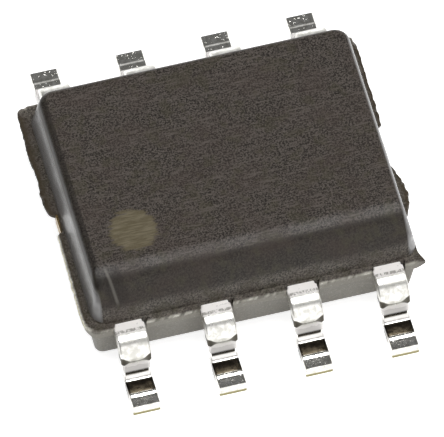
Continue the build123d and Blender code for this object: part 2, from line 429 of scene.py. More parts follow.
def makeMouldMaterial(spec):
    material, tree, shader, place = newMaterial("mouldCompound")
    x, y, z = splitPlace(tree, place)
    noises = makeNoises(tree, place, spec, "grain", "mottle", "tints", "streak", "chips", "pits")
    grain, mottle, tints, streak, chips, pits = noises
    onTop = rampAt(tree, z, *spec["topFrom"])
    onRidge = bandMask(tree, y, *spec["ridge"])
    spread = ramp(tree, onTop, 0.0, 1.0, *spec["speckleSpread"])
    spread = plus(tree, spread, times(tree, onRidge, spec["ridgeSpread"]))
    middle = spec["speckleMiddle"]
    paleness = ramp(tree, grain, minus(tree, middle, spread), plus(tree, middle, spread))
    # Painted shade and light: the walls darker than the top, and lighter low down where they would mirror the
    # white sheet
    wall = blendColours(tree, rampAt(tree, z, *spec["lowWallLightEnd"]), spec["lowWallPaintedLight"], spec["wall"])
    skin = blendColours(tree, paleness, spec["dark"], blendColours(tree, onTop, wall, spec["light"]))
    skin = paint(tree, skin, spec["brown"], ramp(tree, mottle, *spec["brownWhere"]))
    skin = paint(tree, skin, spec["olive"], ramp(tree, tints, *spec["oliveWhere"]))
    skin = paint(tree, skin, spec["light"], onTop, ramp(tree, streak, *spec["combedWhere"]))
    skin = paintDot(tree, skin, x, y, onTop, streak, spec["dot"])
    skin = paintHighlightLine(tree, skin, x, y, z, spec["dark"], spec["line"])

    # The side walls are smoother, and painted paler as a painted reflection of the white sheet, the left one
    # only low down, and the left one has a painted shade rim along its top
    side = spec["side"]
    out = calc(tree, "ABSOLUTE", x)
    toRight = rampAt(tree, x, 0.0, 0.1)
    lowPart = calc(tree, "MAXIMUM", toRight, rampAt(tree, z, *side["leftTop"], 1.0, 0.0))
    onSide = times(tree, rampAt(tree, out, *side["from"]), rampAt(tree, z, *side["above"]), lowPart)
    skin = paint(tree, skin, side["colour"], onSide)
    onShadedRim = times(tree, bandMask(tree, out, *side["rim"]), rampAt(tree, z, *side["shadedRimAbove"]))
    skin = paint(tree, skin, spec["dark"], onShadedRim, minus(tree, 1.0, toRight), side["shadedRimShare"])

    # The flash is fresh and paler where it broke, with pale chips, and its thin film is scorched; that paler
    # colour is also painted light, the white sheet's reflection on the strips and lower walls, and the film's
    # front-left edge has a painted highlight
    broken = addNode(tree, "ShaderNodeAttribute", attribute_name="broken").outputs["Fac"]
    torn = spec["broken"]
    chipStart = ramp(tree, broken, *torn["chipStart"])
    chipped = ramp(tree, chips, chipStart, plus(tree, chipStart, torn["chipSoftness"]))
    freshAndLit = blendColours(tree, chipped, spec["freshAndLit"], spec["speck"])
    skin = paint(tree, skin, freshAndLit, broken, torn["freshAndLitShare"])
    skin = paint(tree, skin, spec["litEdge"], ramp(tree, broken, *torn["litEdgeFrom"]))
    skin = paint(tree, skin, spec["scorched"], ramp(tree, broken, *torn["scorchedFrom"]))
    feed(tree, shader.inputs["Base Color"], skin)
    rough = ramp(tree, mottle, *spec["roughness"])
    feed(tree, shader.inputs["Roughness"], blendValues(tree, onSide, rough, side["roughness"]))
    feed(tree, shader.inputs["Specular IOR Level"], blendValues(tree, onSide, spec["sheen"], side["sheen"]))
    addBump(tree, shader, [(grain, spec["grainDepth"]), (pits, spec["pitDepth"])])
    return material


# Tin plating on the copper leads

tinSpec = {
    "bright": (0.90, 0.89, 0.85),
    "dull": (0.64, 0.63, 0.585),
    "soot": (0.14, 0.13, 0.10),
    # Painted shade, for the collar's creases and the line above every heel
    "paintedShade": (0.075, 0.068, 0.055),
    "frost": (0.97, 0.94, 0.915),
    # Noises, as for the mould compound
    "clouds": (0.09, 3.0, 0.6),
    "grain": (0.014, 3.0, 0.7),
    "ripple": (0.06, 1.0, 0.5),
    "specks": (0.026, 2.0, 0.6),
    "scuffs": (0.03, 2.0, 0.7, (1.0, 0.5, 1.0)),
    "dents": (0.035, 2.0, 0.6),
    "dullWhere": (0.36, 0.64),
    "sootWhere": (0.66, 0.74, 0.0, 0.45),
    "scuffWhere": (0.40, 0.56, 0.10, 1.0),
    "dentWhere": (0.60, 0.74),
    "matteFrom": (0.36, 0.44),
    "footTop": (0.21, 0.26),
    "legFrom": (2.25, 2.30),
    # Frosted parts: the flat by the mould, the leg, the rear heels, and the upper edge of the front heels
    "frosted": [
        {"along": "outward", "band": (1.80, 2.15, 0.008), "by": "height", "share": (0.79, 0.80)},
        {"along": "height", "band": (0.315, 0.475, 0.02), "by": "outward", "share": (2.38, 2.42)},
        {"along": "rearward", "band": (2.45, 2.715, 0.008), "by": "height", "share": (0.34, 0.38, 1.0, 0.0)},
        {"along": "rearward", "band": (-2.54, -2.43, 0.006), "by": "height", "share": (0.254, 0.262, 0.6, 0)},
    ],
    "chalkiness": 0.85,
    "toolMark": (2.085, 2.135, 0.010),
    "toolMarkShare": 0.70,
    "creaseShade": {
        "foldAt": (0.08, 0.22),
        "foldDepth": 0.065,
        "archAt": (0.04, 0.20),
        "archHeights": (0.505, 0.525),
        "width": (0.002, 0.020),
        "fading": (0.02, 0.20, 0.65, 1.0),
    },
    # A painted dark reflection on the front heels, and a painted dark line above every heel
    "heelShade": {
        "band": (2.545, 2.765, 0.007),
        "below": (0.30, 0.34),
        "unevenness": 0.30,
        "fading": (2.60, 2.76),
        "colours": ((0.020, 0.017, 0.013), (0.15, 0.125, 0.09)),
        "line": (0.267, 0.279, 0.007),
        "lineFading": (0.12, 0.18, 0.50, 0.0),
    },
    "cut": {"colour": (0.30, 0.27, 0.13), "from": (2.993, 2.995), "below": (0.040, 0.070), "roughness": 0.4},
    "matteRoughness": (0.3, 0.7, 0.27, 0.36),
    "glossRoughness": (0.3, 0.7, 0.09, 0.16),
    "rippleDepth": 0.0006,
    "grainDepth": 0.0005,
    "dentDepth": 0.0014,
}


def fromMiddle(tree, x):  # how far a point lies from the middle of its own lead
    steps = plus(tree, calc(tree, "DIVIDE", x, chipSpec["pitch"] * mm), 0.5)
    away = calc(tree, "ABSOLUTE", minus(tree, steps, calc(tree, "ROUND", steps)))
    return times(tree, away, chipSpec["pitch"] * mm)


def creaseShadeMask(tree, aside, z, spec):  # painted shade along creases at the two lower corners of the collar
    rise = times(tree, rampAt(tree, aside, *spec["foldAt"]), spec["foldDepth"] * mm)
    arch = rampAt(tree, aside, *spec["archAt"], *[height * mm for height in spec["archHeights"]])
    drop = calc(tree, "ABSOLUTE", minus(tree, z, arch))
    creaseShade = rampAt(tree, minus(tree, drop, rise), *spec["width"], 1.0, 0.0)
    return times(tree, creaseShade, rampAt(tree, aside, *spec["fading"]))


def makeTinMaterial(spec):
    material, tree, shader, place = newMaterial("tinPlating")
    x, y, z = splitPlace(tree, place)
    noises = makeNoises(tree, place, spec, "clouds", "grain", "ripple", "specks", "scuffs", "dents")
    clouds, grain, ripple, specks, scuffs, dents = noises
    outward = calc(tree, "ABSOLUTE", y)
    toFront = times(tree, y, -1.0)
    aside = fromMiddle(tree, x)
    matte = rampAt(tree, z, *spec["matteFrom"])
    onFoot = rampAt(tree, z, *spec["footTop"], 1.0, 0.0)
    onLeg = rampAt(tree, outward, *spec["legFrom"])
    colour = paint(tree, spec["bright"], spec["dull"], ramp(tree, clouds, *spec["dullWhere"]),
                   calc(tree, "MAXIMUM", matte, onFoot))
    colour = paint(tree, colour, spec["soot"], ramp(tree, specks, *spec["sootWhere"]), onFoot)

    # Some parts are frosted, and the trimming tool has pressed a scuffed line across the flat by the mould
    axes = {"outward": outward, "rearward": y, "height": z}
    frosted = 0.0
    for patch in spec["frosted"]:
        area = times(tree, bandMask(tree, axes[patch["along"]], *patch["band"]),
                     rampAt(tree, axes[patch["by"]], *patch["share"]))
        frosted = calc(tree, "MAXIMUM", area, frosted)
    colour = paint(tree, colour, spec["frost"], frosted)
    colour = paint(tree, colour, spec["soot"], bandMask(tree, outward, *spec["toolMark"]),
                   ramp(tree, scuffs, *spec["scuffWhere"]), spec["toolMarkShare"])
    # Painted shade along the creases at the collar's lower corners
    colour = paint(tree, colour, spec["paintedShade"], creaseShadeMask(tree, aside, z, spec["creaseShade"]), onLeg)

    # The front heels carry a painted dark reflection, darkest next to the leg, and every heel a painted dark
    # line above it
    heelShade = spec["heelShade"]
    fading = plus(tree, toFront, times(tree, minus(tree, clouds, 0.5), heelShade["unevenness"] * mm))
    paintedHeelReflection = blendColours(tree, rampAt(tree, fading, *heelShade["fading"]), *heelShade["colours"])
    colour = paint(tree, colour, paintedHeelReflection, bandMask(tree, toFront, *heelShade["band"]),
                   rampAt(tree, z, *heelShade["below"], 1.0, 0.0))
    colour = paint(tree, colour, spec["paintedShade"], bandMask(tree, z, *heelShade["line"]), onLeg,
                   rampAt(tree, aside, *heelShade["lineFading"]))

    # Bare copper where the strip was sheared off at the tip
    cut = spec["cut"]
    sheared = times(tree, rampAt(tree, outward, *cut["from"]), rampAt(tree, z, *cut["below"], 1.0, 0.0))
    feed(tree, shader.inputs["Base Color"], paint(tree, colour, cut["colour"], sheared))
    feed(tree, shader.inputs["Metallic"], minus(tree, 1.0, times(tree, frosted, spec["chalkiness"])))
    polished = ramp(tree, clouds, *spec["glossRoughness"])
    unpolished = ramp(tree, clouds, *spec["matteRoughness"])
    rough = blendValues(tree, matte, polished, unpolished)
    feed(tree, shader.inputs["Roughness"], plus(tree, rough, times(tree, sheared, cut["roughness"])))
    dented = times(tree, ramp(tree, dents, *spec["dentWhere"]), onFoot)
    addBump(tree, shader, [
        (ripple, spec["rippleDepth"]), (grain, spec["grainDepth"]), (dented, spec["dentDepth"]),
    ])
    return material


# The heat pad is tinned too, with bare copper at the cut ends of its tie bars

padSpec = {
    "clouds": (0.30, 4.0, 0.6),
    "scratches": (0.05, 3.0, 0.7, (0.08, 1.0, 1.0)),
    "specks": (0.03, 3.0, 0.7),
    "dullWhere": (0.40, 0.66),
    "scratchedWhere": (0.60, 0.72, 0.0, 0.4),
    "copper": (0.52, 0.38, 0.16),
    "tarnish": (0.16, 0.09, 0.04),
    "tarnishWhere": (0.40, 0.66),
    "tieEnd": (2.375, 2.395),
    "roughness": (0.3, 0.7, 0.22, 0.36),
    "scratchDepth": 0.0012,
    "speckDepth": 0.0008,
}


def makePadMaterial(spec, tin):
    material, tree, shader, place = newMaterial("padPlating")
    x = splitPlace(tree, place)[0]
    clouds, scratches, specks = makeNoises(tree, place, spec, "clouds", "scratches", "specks")
    colour = blendColours(tree, ramp(tree, clouds, *spec["dullWhere"]), tin["bright"], tin["dull"])
    colour = paint(tree, colour, tin["soot"], ramp(tree, scratches, *spec["scratchedWhere"]))
    bare = blendColours(tree, ramp(tree, specks, *spec["tarnishWhere"]), spec["copper"], spec["tarnish"])
    colour = paint(tree, colour, bare, rampAt(tree, calc(tree, "ABSOLUTE", x), *spec["tieEnd"]))
    feed(tree, shader.inputs["Base Color"], colour)
    shader.inputs["Metallic"].default_value = 1.0
    feed(tree, shader.inputs["Roughness"], ramp(tree, clouds, *spec["roughness"]))
    addBump(tree, shader, [(scratches, spec["scratchDepth"]), (specks, spec["speckDepth"])])
    return material


# The hidden pieces inside the mould: chip, glue and bonding wires

innerSpec = {
    "silicon": {
        "colours": ((0.10, 0.11, 0.14), (0.16, 0.17, 0.21)),
        "metal": 0.6, "roughness": (0.12, 0.22), "lumps": (0.18, 3.0, 0.6), "depth": 0.0002,
    },
    "silverGlue": {
        "colours": ((0.42, 0.42, 0.40), (0.70, 0.69, 0.66)),
        "metal": 0.7, "roughness": (0.5, 0.6), "lumps": (0.02, 3.0, 0.6), "depth": 0.002,
    },
    "goldWire": {
        "colours": ((0.85, 0.60, 0.22), (0.95, 0.72, 0.34)),
        "metal": 1.0, "roughness": (0.2, 0.3), "lumps": (0.02, 3.0, 0.6), "depth": 0.0002,
    },
}


def makeInnerMaterial(name, spec):
    material, tree, shader, place = newMaterial(name)
    lumps = cloud(tree, place, *spec["lumps"])
    colour = blendColours(tree, ramp(tree, lumps, 0.35, 0.65), *spec["colours"])
    feed(tree, shader.inputs["Base Color"], colour)
    shader.inputs["Metallic"].default_value = spec["metal"]
    feed(tree, shader.inputs["Roughness"], ramp(tree, lumps, 0.3, 0.7, *spec["roughness"]))
    addBump(tree, shader, [(lumps, spec["depth"])])
    return material


# Moulded body: rings of points from the underside up to the top, on one lattice with both flat faces

bodySpec = {
    "lowerHalf": (2.42, 1.98),
    "lowerShift": -0.045,
    "upperHalf": (2.395, 1.92),
    "underside": 0.045,
    "parting": chipSpec["parting"],
    "top": chipSpec["top"],
    "lowerDraft": 8.0,
    "upperDraft": 11.5,
    "sideDraft": 9.5,
    "lowerCorner": 0.12,
    "tightCorner": 0.05,
    "cornerRadius": 0.22,
    "edgeRadius": 0.085,
    "ridgeRadius": 0.14,
    "bevelSoftness": 0.05,
    "bevelCorner": 0.09,
    "undersideRadius": 0.05,
    "capCorner": 0.10,
    "bevel": 0.34,
    "steps": {"underside": 6, "lowerWall": 7, "upperWall": 9, "topEdge": 11},
    "slot": (-chipSpec["collarWidth"] / 2 - 0.006, chipSpec["collarWidth"] / 2 + 0.030),
    "slotEdge": 0.004,
    "slotDepth": 0.10,
    "stripReach": 0.065,
    "stripHeight": 0.13,
    "stripRoot": 0.20,
    "filmHeight": 0.045,
    "lineGap": 0.035,
    "marginLines": [0, 0.03, 0.06, 0.09, 0.12, 0.15, 0.18, 0.21, 0.2335, 0.2375, 0.27],
    # The film of flash along each short side: where it is, and how far it stands out there
    "filmLeft": [
        (-2.045, 0.0), (-1.99, 0.0), (-1.90, 0.055), (-1.80, 0.078), (-1.45, 0.076), (-0.90, 0.062),
        (-0.26, 0.048), (-0.225, 0.0), (-0.22, -0.035), (0.10, -0.035), (0.105, 0.06), (0.16, 0.09),
        (0.26, 0.105), (0.51, 0.106), (0.76, 0.085), (1.01, 0.102), (1.27, 0.109), (1.52, 0.096),
        (1.80, 0.085), (1.95, 0.088), (2.045, 0.06),
    ],
    "filmRight": [
        (-2.045, 0.095), (-1.985, 0.105), (-1.955, 0.066), (-1.92, 0.040), (-1.86, 0.020), (-1.78, 0.010),
        (-1.63, 0.0), (-1.25, 0.0), (-1.20, 0.045), (-1.03, 0.109), (-0.90, 0.135), (-0.77, 0.145),
        (-0.60, 0.12), (-0.44, 0.08), (-0.30, 0.02), (-0.24, 0.0), (0.39, 0.0), (0.42, 0.082),
        (0.80, 0.092), (1.20, 0.086), (1.60, 0.094), (1.98, 0.085), (2.045, 0.06),
    ],
    # Where the film's edge gets a painted highlight
    "litEdgeFrom": 0.02,
    "hornFade": 0.75,
    # The flash's outline in shares of its reach and height, then the way back over the ledge
    "flashOutline": [(1.0, 0.0), (1.0, 0.35), (1.0, 0.70), (0.98, 0.93), (0.90, 1.0)],
    "ledgeOutline": [(0.6, False), (0.25, True), (0.0, True)],
    "tear": {"waves": 9, "roughness": 0.8, "octaves": 4, "seed": 7, "depth": 0.16},
    "chips": {"waves": 14, "roughness": 0.7, "octaves": 3, "seed": 12, "from": 0.12, "most": 0.5,
              "back": 0.55, "down": 0.05},
    # The strip face's tone is partly painted light
    "stripTone": 0.75,
    "wornTone": (0.35, 1.40),
    "wornContrast": 1.6,
    "litEdgeTone": 2.0,
    "tieY": -0.06,
    "tieHalf": 0.16,
    # Painted light on the lower wall, a reflection of the white sheet
    "lowerWallPaintedLight": 0.55,
    "coverReach": 0.037,
    "coverEdge": 0.006,
    "coverHeight": 0.0015,
    "slopedFrom": (0.25, 0.65),
    "bevelledFrom": (0.15, 0.65),
    "settleTurns": 10,
    "sharpFrom": 38,
}


def fillGaps(stops, gap):  # adds evenly spaced lines between the stops
    lines = []
    for a, b in zip(stops[:-1], stops[1:]):
        count = max(1, math.ceil((b - a) / gap - 1e-6))
        lines += [a + (b - a) * step / count for step in range(count)]
    return np.array(lines + [stops[-1]])


def leadPlaces(spec):
    count = spec["perSide"]
    return [(place - (count - 1) / 2) * spec["pitch"] for place in range(count)]


def bodyLines(spec):  # the lattice has a line on every edge of a slot, a tie bar and a rounded corner
    halfX, halfY = spec["lowerHalf"]
    edge = spec["slotEdge"]
    slots = []
    for lead in leadPlaces(chipSpec):
        left, right = [lead - spec["lowerShift"] + side for side in spec["slot"]]
        slots += [left - edge, left, right, right + edge]
    ties = [spec["tieY"] + side * (spec["tieHalf"] + extra) for side in (-1, 1) for extra in (0, edge)]
    lines = []
    for stops, half in ((slots, halfX), (ties, halfY)):
        margins = [side * (half - margin) for side in (-1, 1) for margin in spec["marginLines"]]
        lines.append(fillGaps(sorted(stops + margins), spec["lineGap"]))
    return lines


def roundedRing(x, y, halfX, halfY, radius):  # moves points of a rectangle's rim onto its rounded corners
    alongX = np.abs(np.abs(y) - halfY) < 1e-9
    fromCorner = np.where(alongX, halfX - np.abs(x), halfY - np.abs(y))
    angle = math.pi / 4 * np.clip(1 - fromCorner / np.maximum(radius, 1e-9), 0, 1)
    bent = fromCorner < radius
    along = np.where(alongX, halfX, halfY) - radius + radius * np.sin(angle)
    depth = np.where(alongX, halfY, halfX) - radius + radius * np.cos(angle)
    newX = np.where(bent, np.where(alongX, along, depth) * np.sign(x), x)
    newY = np.where(bent, np.where(alongX, depth, along) * np.sign(y), y)
    return newX, newY


def unevenness(x, y, spec):  # how torn the flash is at each column, the same in every run
    return np.array([
        noise.fractal(Vector((a * spec["waves"], b * spec["waves"], spec["seed"])), spec["roughness"], 2.0,
                      spec["octaves"])
        for a, b in zip(x, y)
    ])


def bodyColumns(spec, xLines, yLines):  # one column for each point of the lattice's rim, and its flash
    nx, ny = len(xLines), len(yLines)
    rim = [(i, 0) for i in range(nx)] + [(nx - 1, j) for j in range(1, ny)]
    rim += [(i, ny - 1) for i in range(nx - 2, -1, -1)] + [(0, j) for j in range(ny - 2, 0, -1)]
    x = np.array([xLines[i] for i, j in rim])
    y = np.array([yLines[j] for i, j in rim])
    halfX, halfY = spec["lowerHalf"]
    worldX = x + spec["lowerShift"]
    slack = spec["slotEdge"] / 2
    onLong = np.abs(np.abs(y) - halfY) < 1e-9
    nearest = np.array([min((place - lead for lead in leadPlaces(chipSpec)), key=abs) for place in worldX])
    slotted = onLong & (nearest > spec["slot"][0] - slack) & (nearest < spec["slot"][1] + slack)
    tied = ~onLong & (np.abs(y - spec["tieY"]) < spec["tieHalf"] + slack)
    filmLeft, filmRight = [np.interp(y, *np.array(spec[key]).T) for key in ("filmLeft", "filmRight")]
    film = np.where(x < 0, filmLeft, filmRight)

    # The strips run round the corners and fade out there, and they are thinner at the horn
    atHorn = (x > 0) & (y < 0)
    corner = np.where(atHorn, spec["tightCorner"], spec["lowerCorner"])
    nearX = np.clip(1 - (halfX - np.abs(x)) / corner, 0, 1)
    nearY = np.clip(1 - (halfY - np.abs(y)) / corner, 0, 1)
    along = np.where(onLong, 1.0, nearY)
    onStrip = along * (1 - spec["hornFade"] * np.where(onLong, nearX, nearY) * atHorn)
    filmHeight = spec["filmHeight"]
    tear = 1 + spec["tear"]["depth"] * unevenness(worldX, y, spec["tear"]) * ~onLong
    chipping = unevenness(worldX, y, spec["chips"])
    return SimpleNamespace(
        rim=rim, x=x, y=y, corner=corner, slotted=slotted, tied=tied, onStrip=onStrip,
        litEdged=~onLong & (x < 0) & (film > spec["litEdgeFrom"]) & (y < 0),
        reachX=film * np.where(onLong, nearX, 1.0) * tear * np.sign(x),
        reachY=spec["stripReach"] * along * ~slotted * np.sign(y),
        height=filmHeight + (spec["stripHeight"] - filmHeight) * onStrip,
        root=2 * filmHeight + (spec["stripRoot"] - 2 * filmHeight) * onStrip,
        chipping=chipping,
        chip=np.clip(chipping - spec["chips"]["from"], 0, spec["chips"]["most"]),
    )


def ringAt(spec, columns, half, inset, radius, shift):  # the columns on a ring of a size, with round corners
    halfX, halfY = half[0] - inset, half[1] - inset
    scaledX = columns.x * halfX / spec["lowerHalf"][0]
    scaledY = columns.y * halfY / spec["lowerHalf"][1]
    x, y = roundedRing(scaledX, scaledY, halfX, halfY, radius)
    return x + shift, y


def bodyRow(x, y, z, brokenness):  # x, y and z of every column, and how broken its surface is, which also carries its painted light
    return np.stack(np.broadcast_arrays(x, y, z, brokenness), axis=1)


def lowerRows(spec, columns):  # the rounding of the underside, then the lower wall up to the flash
    draft = math.radians(spec["lowerDraft"])
    curve = spec["undersideRadius"]
    middle = spec["underside"] + curve
    centre = (spec["parting"] - middle) * math.tan(draft) + curve / math.cos(draft)
    levels = []  # height and inset of each row
    count = spec["steps"]["underside"]
    for step in range(count + 1):
        angle = (math.pi / 2 - draft) * step / count
        levels.append((middle - curve * math.cos(angle), centre - curve * math.sin(angle)))
    wallStart = middle - curve * math.sin(draft)
    count = spec["steps"]["lowerWall"]
    for step in range(1, count + 1):
        z = wallStart + (spec["parting"] - columns.root - wallStart) * step / count
        levels.append((z, (spec["parting"] - z) * math.tan(draft)))
    rows = []
    for z, inset in levels:
        x, y = ringAt(spec, columns, spec["lowerHalf"], inset, columns.corner, spec["lowerShift"])
        rows.append(bodyRow(x, y, z, spec["lowerWallPaintedLight"]))
    return rows


def flashRows(spec, columns):  # up the outside of the flash, and back over the ledge
    x, y = ringAt(spec, columns, spec["lowerHalf"], 0.0, columns.corner, spec["lowerShift"])
    parting, slotted, litEdged = spec["parting"], columns.slotted, columns.litEdged
    lowered = np.where(slotted, spec["slotDepth"], 0.0) - np.where(columns.tied, spec["coverHeight"], 0.0)
    onFilm = 1 - columns.onStrip
    least, most = spec["wornTone"]
    worn = least + (most - least) * np.clip(0.5 + spec["wornContrast"] * columns.chipping, 0, 1)
    rows = []
    for share, rise in spec["flashOutline"]:
        chip = columns.chip * (rise > 0.5)
        z = parting - columns.height * (1 - rise) - lowered * rise - spec["chips"]["down"] * chip
        keep = share - spec["chips"]["back"] * chip
        # The strip face is paler where the flash broke, partly as painted light, and the front-left film's
        # edge gets a painted highlight
        tone = ~slotted * (spec["stripTone"] if rise < 0.9 else worn) * columns.onStrip
        tone = tone + spec["litEdgeTone"] * onFilm * litEdged - onFilm * ~litEdged * (rise == 1.0)
        rows.append(bodyRow(x + columns.reachX * keep, y + columns.reachY * keep, z, tone))
    rootX, rootY = ringAt(spec, columns, spec["upperHalf"], 0.0, spec["cornerRadius"], 0.0)
    lastShare = spec["flashOutline"][-1][0]
    for share, covered in spec["ledgeOutline"]:
        inward = 1 - share / lastShare
        ledgeX = x * (1 - inward) + rootX * inward + columns.reachX * share
        ledgeY = y * (1 - inward) + rootY * inward + columns.reachY * share
        ledgeZ = parting - lowered
        coverEnd = spec["coverReach"]
        if covered:  # a skin of mould runs a little way over each lead
            ledgeZ = np.where(slotted, parting + spec["coverHeight"], ledgeZ)
        else:
            coverEnd += spec["coverEdge"]
        if share:
            ledgeY = np.where(slotted, rootY + np.sign(columns.y) * coverEnd, ledgeY)
        rows.append(bodyRow(ledgeX, ledgeY, ledgeZ, -share * onFilm))
    return rows


def upperRows(spec, columns):  # the upper wall, then the rounding onto the top
    draft = math.radians(spec["upperDraft"])
    radius, corner = spec["edgeRadius"], spec["cornerRadius"]
    turn = math.pi / 2 - draft
    wallTop = spec["top"] - spec["parting"] - radius * math.tan(turn / 2) * math.cos(draft)
    levels = []  # height over the parting line, inset and corner radius of each row
    count = spec["steps"]["upperWall"]
    for step in range(1, count + 1):
        z = wallTop * step / count
        levels.append((z, z * math.tan(draft), corner))
    count = spec["steps"]["topEdge"]
    for step in range(1, count + 1):
        lean = draft + turn * step / count
        z = wallTop + radius * (math.sin(lean) - math.sin(draft))
        inset = wallTop * math.tan(draft) + radius * (math.cos(draft) - math.cos(lean))
        levels.append((z, inset, corner - radius * (1 - math.cos(lean))))
    rows = []
    for z, inset, cornerRadius in levels:
        x, y = ringAt(spec, columns, spec["upperHalf"], inset, cornerRadius, 0.0)
        rows.append(bodyRow(x, y, spec["parting"] + z, 0.0))
    return rows


def capPoints(spec, xLines, yLines, rimRow, level):  # the lattice inside a ring, square towards its middle
    nx, ny = len(xLines), len(yLines)
    low, high = rimRow[:, :2].min(axis=0), rimRow[:, :2].max(axis=0)
    scaleX, scaleY = (high - low) / 2 / (xLines[-1], yLines[-1])
    points = np.zeros((nx, ny, 4))
    for i in range(nx):
        for j in range(ny):
            k = min(i, j, nx - 1 - i, ny - 1 - j)
            radius = max(spec["capCorner"] - (xLines[-1] + xLines[k]), 0.0)
            x, y = roundedRing(np.array([xLines[i] * scaleX]), np.array([yLines[j] * scaleY]),
                               -xLines[k] * scaleX, -yLines[k] * scaleY, radius)
            points[i, j] = (x[0] + (low[0] + high[0]) / 2, y[0], level, 0.0)
    return points


def softMax(first, second, width):  # the larger of two distances, rounded over where they are alike
    (a, towardsA), (b, towardsB) = first, second
    share = np.clip(0.5 + (a - b) / (2 * width), 0, 1)[:, None]
    lift = np.clip(width - np.abs(a - b), 0, None) ** 2 / (4 * width)
    return np.maximum(a, b) + lift, share * towardsA + (1 - share) * towardsB


def roundOff(first, second, radius):  # the larger of two distances, with an arc of a radius between them
    (a, towardsA), (b, towardsB) = first, second
    nearA, nearB = np.clip(a + radius, 0, None), np.clip(b + radius, 0, None)
    length = np.hypot(nearA, nearB)
    inner = length < 1e-9
    even = np.where(inner, 1.0, length)
    shareA = np.where(inner, a >= b, nearA / even)[:, None]
    shareB = np.where(inner, a < b, nearB / even)[:, None]
    return np.where(inner, np.maximum(a, b), length - radius), shareA * towardsA + shareB * towardsB


def settleUpper(points, spec):  # draws points onto the upper half's outside, with every edge rounded
    draft, sideDraft = math.radians(spec["upperDraft"]), math.radians(spec["sideDraft"])
    upX, upY = spec["upperHalf"]
    parting, top = spec["parting"], spec["top"]
    foot = upY - (top - parting - spec["bevel"]) * math.tan(draft)
    half = math.sqrt(0.5)
    longReach = math.cos(draft) * upY + math.sin(draft) * parting
    shortReach = math.cos(sideDraft) * upX + math.sin(sideDraft) * parting

    def distance(normal, reach):
        return points @ np.array(normal) - reach, np.array([normal])

    def between(value, span):
        return np.clip((value - span[0]) / (span[1] - span[0]), 0, 1)

    for turn in range(spec["settleTurns"]):
        roof = distance((0, 0, 1), top)
        bevel = distance((0, -half, half), half * (foot + top - spec["bevel"]))
        front, back = [distance((0, sign * math.cos(draft), math.sin(draft)), longReach) for sign in (-1, 1)]
        around = softMax(bevel, front, spec["bevelSoftness"])
        around = roundOff(around, back, spec["cornerRadius"])
        sloped = between(around[1][:, 2], spec["slopedFrom"])
        corner = spec["cornerRadius"] + (spec["bevelCorner"] - spec["cornerRadius"]) * sloped
        for sign in (-1, 1):
            side = distance((sign * math.cos(sideDraft), 0, math.sin(sideDraft)), shortReach)
            around = roundOff(around, side, corner)
        bevelled = between(-around[1][:, 1], spec["bevelledFrom"])
        radius = spec["edgeRadius"] + (spec["ridgeRadius"] - spec["edgeRadius"]) * bevelled
        gap, pull = roundOff(around, roof, radius)
        steep = np.maximum((pull ** 2).sum(axis=1), 0.2)
        points = points - (gap / steep)[:, None] * pull
    return points


def makeBody(spec, mouldMaterial):
    xLines, yLines = bodyLines(spec)
    columns = bodyColumns(spec, xLines, yLines)
    rows = lowerRows(spec, columns) + flashRows(spec, columns) + upperRows(spec, columns)
    nx, ny, count = len(xLines), len(yLines), len(columns.rim)
    bottom = capPoints(spec, xLines, yLines, rows[0], spec["underside"])
    roof = capPoints(spec, xLines, yLines, rows[-1], spec["top"])
    for (i, j), low, high in zip(columns.rim, rows[0], rows[-1]):
        bottom[i, j] = low
        roof[i, j] = high
    sides = np.concatenate(rows[1:-1])
    points = np.concatenate([bottom.reshape(-1, 4), sides, roof.reshape(-1, 4)])

    def bottomIndex(i, j):
        return i * ny + j

    def roofIndex(i, j):
        return nx * ny + len(sides) + i * ny + j

    def sideIndex(row, column):
        column %= count
        if row == 0:
            return bottomIndex(*columns.rim[column])
        if row == len(rows) - 1:
            return roofIndex(*columns.rim[column])
        return nx * ny + (row - 1) * count + column

    faces = []
    for i in range(nx - 1):
        for j in range(ny - 1):
            square = [(i, j), (i + 1, j), (i + 1, j + 1), (i, j + 1)]
            faces.append([bottomIndex(*place) for place in square[::-1]])
            faces.append([roofIndex(*place) for place in square])
    for row in range(len(rows) - 1):
        for column in range(count):
            faces.append([sideIndex(row, column), sideIndex(row, column + 1),
                          sideIndex(row + 1, column + 1), sideIndex(row + 1, column)])

    footRow = len(rows) - 1 - spec["steps"]["upperWall"] - spec["steps"]["topEdge"]
    upper = slice(sideIndex(footRow, 0), len(points))
    points[upper, :3] = settleUpper(points[upper, :3], spec)
    mesh = bpy.data.meshes.new("mouldedBody")
    mesh.from_pydata((points[:, :3] * mm).tolist(), [], faces)
    attribute = mesh.attributes.new("broken", "FLOAT", "POINT")
    attribute.data.foreach_set("value", points[:, 3].astype(np.float32))
    mesh.materials.append(mouldMaterial)
    mesh.polygons.foreach_set("use_smooth", [True] * len(mesh.polygons))
    mesh.set_sharp_from_angle(angle=math.radians(spec["sharpFrom"]))
    body = bpy.data.objects.new("mouldedBody", mesh)
    scene.collection.objects.link(body)
    return body


mouldCompound = makeMouldMaterial(mouldSpec)
mouldedBody = makeBody(bodySpec, mouldCompound)
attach(mouldedBody, "root")
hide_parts("moulded_body")
print("body moulded with", len(mouldedBody.data.polygons), "faces")


# Leads: one strip bent along a path, set out in two rows

